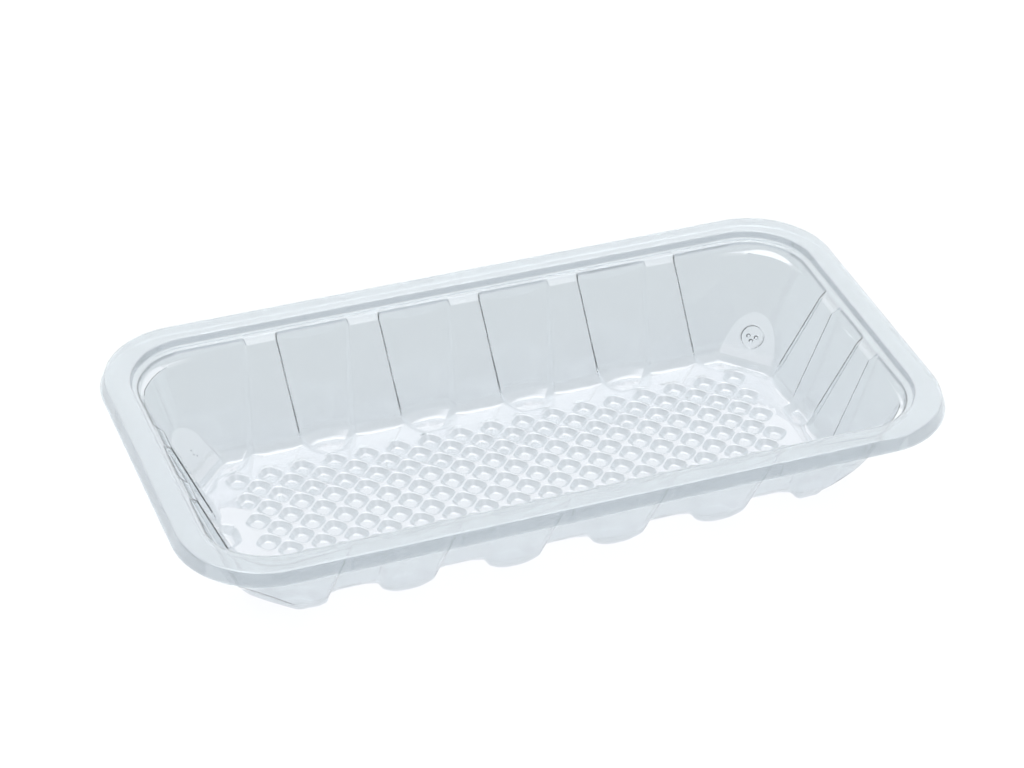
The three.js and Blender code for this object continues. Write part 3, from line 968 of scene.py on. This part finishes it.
# ------------------------------------------------------------------ floor pockets
POCKET_COLUMNS = 17
POCKET_ROWS = 10
POCKET_POINTS = 24
POCKET_CORNER = 2.3
# Each ring of a pocket: how far from the floor's edge to the bottom's edge, its depth as a
# share, and how round it is.
POCKET_RINGS = (
    (-0.22, 0.0, 1.0), (-0.08, 0.025, 1.0), (0.06, 0.12, 1.0), (0.76, 0.78, 0.85),
    (1.0, 0.93, 0.8), (1.45, 1.0, 0.6),
)


def diamond_point(angle, side, corner):
    """A point on a diamond whose corners are rounded, at an angle from the middle of a side."""
    turn = (angle + math.pi / 4) % (math.pi / 2) - math.pi / 4
    half = side / 2
    base = angle - turn
    straight = half - corner
    flat = Vector((half, half * math.tan(turn)))
    if abs(flat.y) > straight:
        centre = Vector((straight, math.copysign(straight, turn)))
        ray = Vector((math.cos(turn), math.sin(turn)))
        along = centre.dot(ray)
        reach = along + math.sqrt(max(0.0, corner ** 2 - (centre.length_squared - along ** 2)))
        flat = ray * reach
    return Matrix.Rotation(base + math.pi / 4, 2) @ flat


def one_pocket(sizes):
    """One pocket, modelled from a circle that is extruded down ring by ring and filled."""
    deselect()
    floor = sizes.height - FLOOR_DEPTH * MM
    bpy.ops.mesh.primitive_circle_add(vertices=POCKET_POINTS, radius=sizes.pocket_side / 2)
    piece = bpy.context.object
    ring = list(range(POCKET_POINTS))
    for number, (inset, depth, roundness) in enumerate(POCKET_RINGS):
        if number:
            edit(piece, "VERT", lambda: bpy.ops.mesh.extrude_edges_move())
            ring = [vertex.index for vertex in piece.data.vertices if vertex.select]
        side = mix(sizes.pocket_side, sizes.pocket_foot, inset)
        corner = POCKET_CORNER * MM * roundness
        for place, index in enumerate(ring):
            angle = math.tau * place / POCKET_POINTS
            spot = diamond_point(angle, side, corner)
            piece.data.vertices[index].co = (*spot, floor - depth * sizes.pocket_depth)
    edit(piece, "VERT", lambda: bpy.ops.mesh.edge_face_add())
    return piece


def pocket_floor(sizes):
    """All the pockets, as two grids of rows that are shifted half a pitch."""
    pitch = sizes.pocket_pitch
    grids = []
    for shift in (0, 1):
        piece = one_pocket(sizes)
        count = POCKET_COLUMNS - shift
        start = Vector((-(count - 1) / 2 * pitch, sizes.pocket_first_row - shift * pitch / 2, 0))
        piece.data.transform(Matrix.Translation(start))
        for repeats, step in ((count, (pitch, 0, 0)), (POCKET_ROWS // 2, (0, -pitch, 0))):
            add_modifier(
                piece, "ARRAY", count=repeats, use_relative_offset=False,
                use_constant_offset=True, constant_offset_displace=step,
            )
        grids.append(piece)
    return join(grids, "pockets")


# ------------------------------------------------------------------ pieces
class TRAY_OT_sheet(bpy.types.Operator):
    """Draws the sheet over the mould: rim, ribbed walls, gussets, feet and floor pockets"""

    bl_idname = "tray.sheet"
    bl_label = "Tray Sheet"

    def execute(self, context):
        sizes = context.scene.tray_sizes
        quarter = drawn_quarter(sizes)
        add_modifier(
            quarter, "MIRROR", use_axis=(True, True, False), use_mirror_merge=True,
            merge_threshold=SAME_SEAM,
        )
        pockets = pocket_floor(sizes)
        sheet = join([quarter, pockets], "tray_sheet")
        floor = sizes.height - FLOOR_DEPTH * MM
        only(sheet)
        bpy.ops.object.mode_set(mode="EDIT")
        bpy.ops.mesh.select_mode(type="EDGE")
        bpy.ops.mesh.select_all(action="SELECT")
        bpy.ops.mesh.remove_doubles(threshold=SAME_POINT)
        bpy.ops.mesh.select_all(action="DESELECT")
        bpy.ops.mesh.select_non_manifold(
            extend=False, use_wire=False, use_boundary=True, use_multi_face=False,
            use_non_contiguous=False, use_verts=False,
        )
        bpy.ops.object.mode_set(mode="OBJECT")
        mesh = sheet.data
        for edge in mesh.edges:
            if edge.select:
                ends = [mesh.vertices[index].co.z for index in edge.vertices]
                if max(abs(z - floor) for z in ends) > OFF_FLOOR:
                    edge.select = False
        bpy.ops.object.mode_set(mode="EDIT")
        bpy.ops.mesh.fill(use_beauty=True)
        bpy.ops.mesh.select_all(action="SELECT")
        bpy.ops.mesh.normals_make_consistent(inside=False)
        bpy.ops.object.mode_set(mode="OBJECT")
        level = [face for face in mesh.polygons if abs(face.center.z - floor) < ON_FLOOR]
        if not level:
            raise RuntimeError("the floor between the pockets was not filled")
        if sum(face.normal.z * face.area for face in level) < 0:
            edit(
                sheet, "FACE", lambda: bpy.ops.mesh.select_all(action="SELECT"),
                bpy.ops.mesh.flip_normals,
            )
        thicken(sheet, sizes.sheet)
        only(sheet)
        bpy.ops.object.shade_smooth_by_angle(angle=math.radians(SMOOTH_ANGLE))
        add_modifier(sheet, "WEIGHTED_NORMAL", keep_sharp=True, weight=SMOOTH_WEIGHT)
        sheet.data.materials.clear()
        sheet.data.materials.append(clear_sheet_material(context.scene.tray_finish))
        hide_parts(CAD_NODE)
        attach(sheet, BODY)
        return {"FINISHED"}


# ------------------------------------------------------------------ stage
# The camera of the photograph, in millimetres and degrees.
CAMERA_AIM = (-4.20, -0.21, 41.0)
CAMERA_AZIMUTH = -22.17
CAMERA_ELEVATION = 36.08
CAMERA_ROLL = 1.91
CAMERA_DISTANCE = 1058.57
FOCAL_PIXELS = 3225.96
PHOTO_WIDTH = 1024
SENSOR_WIDTH = 36
NEAREST, FURTHEST = 0.01, 20  # that the camera sees, in metres

# The tent's light: the direction it comes from, the cosines of the angles off it where it starts
# and is full, and its strength. Behind the tray, overhead, and a softbox overhead.
TENT_LIGHTS = (
    ((0.377, 0.926, 0.0), (0.1, 0.7), 1.75),
    ((0.0, 0.0, 1.0), (0.65, 0.95), 2.4),
    ((0.08, 0.15, 0.985), (0.92, 0.96), 3.5),
)
TENT_DARK = 0.45  # its strength elsewhere
STAGE_SIZE = 6  # metres


class TRAY_OT_stage(bpy.types.Operator):
    """Sets up the pale floor, the soft light and the photograph's camera"""

    bl_idname = "tray.stage"
    bl_label = "Studio Stage"

    def execute(self, context):
        finish = context.scene.tray_finish
        deselect()
        bpy.ops.mesh.primitive_plane_add(size=STAGE_SIZE, location=(0, 0, 0))
        floor = context.object
        floor.name = "studio_floor"
        material, tree, output = empty_material("matt_studio_floor")
        shader = add_node(
            tree, "ShaderNodeBsdfPrincipled",
            inputs={"Base Color": linear(finish.floor_colour), "Roughness": 1.0},
        )
        tree.links.new(shader.outputs["BSDF"], output.inputs["Surface"])
        floor.data.materials.append(material)
        self.light(context)
        self.camera(context)
        return {"FINISHED"}

    def light(self, context):
        """A tent of soft light: bright overhead, dimmer behind the tray and dim in front."""
        world = bpy.data.worlds.new("studio_air")
        world.use_nodes = True
        tree = world.node_tree
        air = tree.nodes["Background"]
        air.inputs["Color"].default_value = linear("ffffff")
        towards = add_node(tree, "ShaderNodeTexCoord").outputs["Generated"]
        strength = TENT_DARK
        for side, (start, full), light in TENT_LIGHTS:
            near = add_node(
                tree, "ShaderNodeVectorMath", {"operation": "DOT_PRODUCT"}, {0: towards, 1: side}
            ).outputs["Value"]
            share = add_node(
                tree, "ShaderNodeMapRange", {"interpolation_type": "SMOOTHSTEP"},
                {"Value": near, "From Min": start, "From Max": full},
            ).outputs[0]
            strength = add_node(
                tree, "ShaderNodeMix", {"data_type": "FLOAT"}, {0: share, 2: strength, 3: light}
            ).outputs[0]
        tree.links.new(strength, air.inputs["Strength"])
        context.scene.world = world
        context.scene.view_settings.view_transform = "Standard"

    def camera(self, context):
        azimuth, elevation = math.radians(CAMERA_AZIMUTH), math.radians(CAMERA_ELEVATION)
        back = Vector((
            math.sin(azimuth) * math.cos(elevation),
            -math.cos(azimuth) * math.cos(elevation),
            math.sin(elevation),
        ))
        bpy.ops.object.camera_add(location=(Vector(CAMERA_AIM) + back * CAMERA_DISTANCE) * MM)
        camera = context.object
        camera.name = "photo_camera"
        roll = Quaternion((0, 0, 1), math.radians(CAMERA_ROLL))
        camera.rotation_mode = "QUATERNION"
        camera.rotation_quaternion = (-back).to_track_quat("-Z", "Y") @ roll
        camera.data.sensor_width = SENSOR_WIDTH
        camera.data.lens = FOCAL_PIXELS * SENSOR_WIDTH / PHOTO_WIDTH
        camera.data.clip_start = NEAREST
        camera.data.clip_end = FURTHEST
        context.scene.camera = camera


class TRAY_PT_panel(bpy.types.Panel):
    """Lists the tray's pieces and settings"""

    bl_label = "Meat Tray"
    bl_idname = "TRAY_PT_panel"
    bl_space_type = "VIEW_3D"
    bl_region_type = "UI"
    bl_category = "Meat Tray"

    def draw(self, context):
        layout = self.layout
        for group in (context.scene.tray_sizes, context.scene.tray_finish):
            for name in group.__annotations__:
                layout.prop(group, name)
        for operator in OPERATORS:
            layout.operator(operator.bl_idname)


OPERATORS = (TRAY_OT_sheet, TRAY_OT_stage)
CLASSES = (TraySizes, TrayFinish, *OPERATORS, TRAY_PT_panel)


def register():
    for item in CLASSES:
        bpy.utils.register_class(item)
    bpy.types.Scene.tray_sizes = bpy.props.PointerProperty(type=TraySizes)
    bpy.types.Scene.tray_finish = bpy.props.PointerProperty(type=TrayFinish)


def unregister():
    del bpy.types.Scene.tray_finish
    del bpy.types.Scene.tray_sizes
    for item in reversed(CLASSES):
        bpy.utils.unregister_class(item)


def main():
    register()
    bpy.ops.tray.sheet()
    bpy.ops.tray.stage()


if __name__ == "__main__":
    main()
